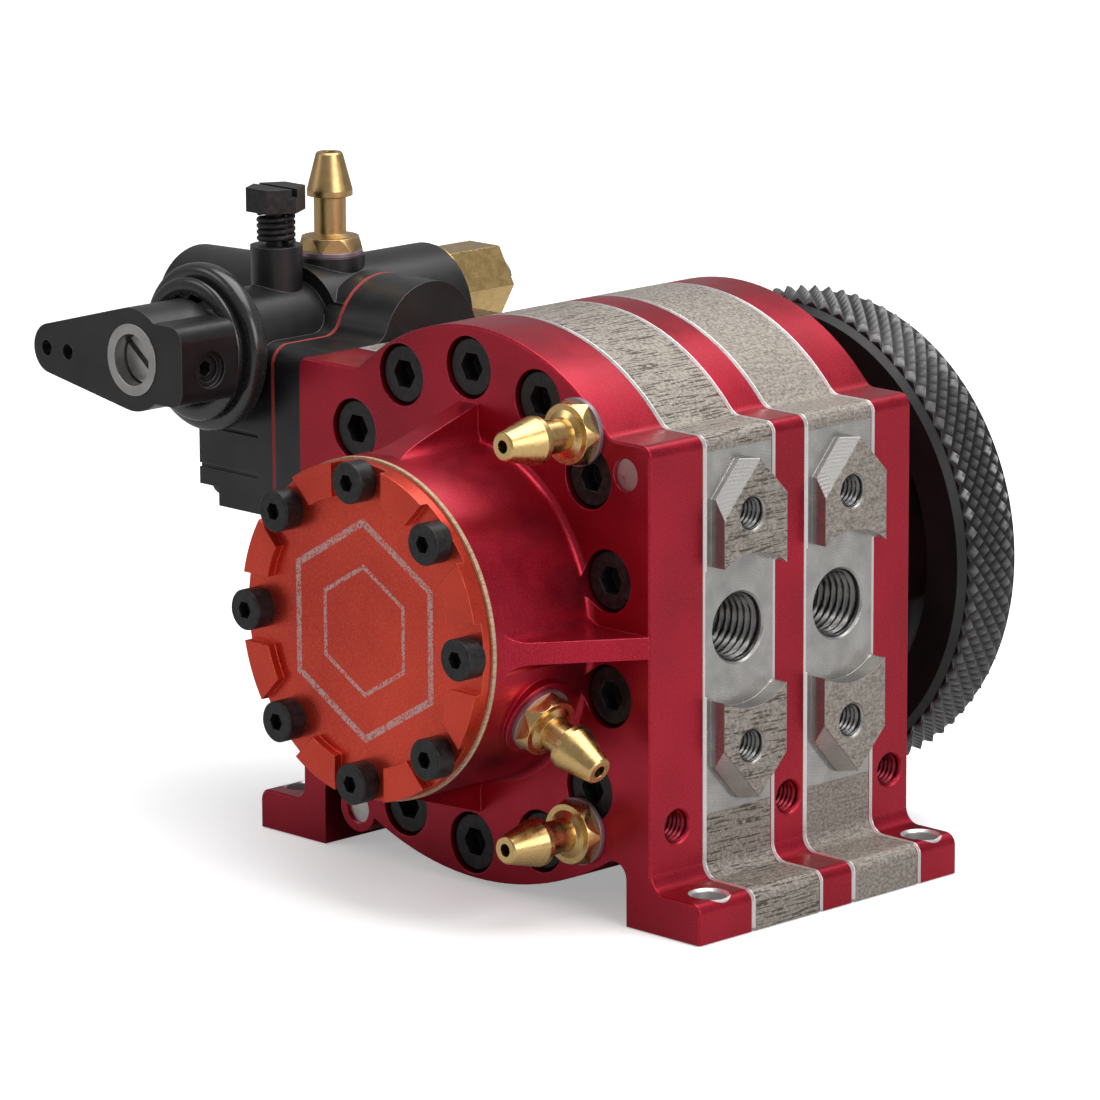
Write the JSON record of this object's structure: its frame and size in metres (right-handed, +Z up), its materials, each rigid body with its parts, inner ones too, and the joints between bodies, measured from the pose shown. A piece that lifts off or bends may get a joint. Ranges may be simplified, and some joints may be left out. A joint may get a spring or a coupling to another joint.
{
  "type": "model glow engine",
  "caption": "Compact rotary model glow engine: stacked red and grey alloy slices on two bolt-down feet, round front cover, side carburettor, brass hose nipples and a knurled flywheel.",
  "frame": {"origin": "centre of the four foot holes, on the underside of the feet", "axes": "+X towards the glow-plug side, +Y along the shaft to the flywheel, +Z up"},
  "size_m": [0.0848, 0.0721, 0.062],
  "materials": {
    "red_plate": "red anodised, satin",
    "cover_red": "red anodised, satin",
    "housing_alloy": "fine machined",
    "black_screw": "black oxide",
    "bright_steel": "ground",
    "brass": "machined",
    "washer_grey": "satin",
    "gasket_tan": "fibre",
    "gasket_red": "fibre",
    "black_alloy": "black anodised, satin",
    "black_rubber": "gloss",
    "seal_rubber": "matte",
    "rotor_iron": "machined",
    "needle_steel": "turned",
    "cage_polymer": "matte"
  },
  "bodies": {
    "engine": {"front_end_housing": "red_plate", "front_rotor_housing": "housing_alloy", "middle_housing": "red_plate", "rear_rotor_housing": "housing_alloy", "rear_end_housing": "red_plate", "coolant_seals": "seal_rubber", "tie_bolts": "black_screw", "dowel_pins": "bright_steel", "front_cover": "cover_red", "cover_gasket": "gasket_tan", "cover_screws": "black_screw", "coolant_nipple_upper": "brass", "coolant_nipple_lower": "brass", "oil_nipple": "brass", "nipple_washers": "washer_grey", "front_bearing_outer_ring": "bright_steel", "rear_bearing_outer_ring": "bright_steel", "middle_bush": "brass", "front_fixed_gear": "rotor_iron", "rear_fixed_gear": "rotor_iron", "shaft_seal": "seal_rubber", "intake_manifold": "black_alloy", "carb_gasket": "gasket_red", "carb_body": "black_alloy", "carb_screws": "black_screw", "fuel_nipple": "brass", "fuel_nipple_washer": "washer_grey", "needle_housing": "brass", "throttle_boot": "black_rubber"},
    "shaft": {"eccentric_shaft": "bright_steel", "front_bearing_inner_ring": "bright_steel", "rear_bearing_inner_ring": "bright_steel", "front_counterweight": "rotor_iron", "counterweight_screw": "black_screw", "flywheel": "black_alloy", "flywheel_cone": "brass", "flywheel_nut": "black_screw", "flywheel_washer": "bright_steel"},
    "front_rotor_group": {"front_rotor": "rotor_iron", "front_ring_gear": "rotor_iron", "front_rotor_bush": "brass", "front_apex_seals": "bright_steel"},
    "rear_rotor_group": {"rear_rotor": "rotor_iron", "rear_ring_gear": "rotor_iron", "rear_rotor_bush": "brass", "rear_apex_seals": "bright_steel"},
    "front_bearing_train": {"front_bearing_cage": "cage_polymer", "front_bearing_balls": "bright_steel"},
    "rear_bearing_train": {"rear_bearing_cage": "cage_polymer", "rear_bearing_balls": "bright_steel"},
    "throttle": {"throttle_barrel": "needle_steel", "throttle_arm": "black_alloy", "arm_clamp_screw": "black_screw"},
    "idle_mixture": {"idle_needle": "needle_steel"},
    "main_mixture": {"main_needle": "needle_steel"},
    "idle_stop": {"stop_screw": "black_screw", "stop_spring": "black_screw"}
  },
  "joints": [
    {"name": "shaft_spin", "type": "hinge", "parent": "engine", "child": "shaft", "pos_m": [0, -0.00045, 0.0261], "axis": [0, 1, 0], "continuous": true},
    {"name": "front_rotor_spin", "type": "hinge", "parent": "shaft", "child": "front_rotor_group", "pos_m": [0, -0.0061, 0.0284], "axis": [0, 1, 0], "continuous": true},
    {"name": "rear_rotor_spin", "type": "hinge", "parent": "shaft", "child": "rear_rotor_group", "pos_m": [0, 0.007, 0.0238], "axis": [0, 1, 0], "continuous": true},
    {"name": "front_cage_spin", "type": "hinge", "parent": "engine", "child": "front_bearing_train", "pos_m": [0, -0.01985, 0.0261], "axis": [0, 1, 0], "continuous": true},
    {"name": "rear_cage_spin", "type": "hinge", "parent": "engine", "child": "rear_bearing_train", "pos_m": [0, 0.01635, 0.0261], "axis": [0, 1, 0], "continuous": true},
    {"name": "throttle_turn", "type": "hinge", "parent": "engine", "child": "throttle", "pos_m": [-0.0362, -0.00845, 0.0453], "axis": [0, 1, 0], "range_deg": [-45, 45]},
    {"name": "idle_needle_turn", "type": "hinge", "parent": "throttle", "child": "idle_mixture", "pos_m": [-0.0362, -0.02345, 0.0453], "axis": [0, 1, 0], "range_deg": [-540, 540]},
    {"name": "main_needle_turn", "type": "hinge", "parent": "engine", "child": "main_mixture", "pos_m": [-0.0362, 0.01855, 0.047], "axis": [0, 1, 0], "range_deg": [-720, 720]},
    {"name": "idle_stop_travel", "type": "slide", "parent": "engine", "child": "idle_stop", "axis": [0, 0, 1], "range_m": [-0.0004, 0.0008], "deforming": ["stop_spring"]}
  ],
  "couplings": [
    {"joint": "front_rotor_spin", "follows": "shaft_spin", "ratio": -0.66667},
    {"joint": "rear_rotor_spin", "follows": "shaft_spin", "ratio": -0.66667},
    {"joint": "front_cage_spin", "follows": "shaft_spin", "ratio": 0.39474},
    {"joint": "rear_cage_spin", "follows": "shaft_spin", "ratio": 0.39474}
  ]
}
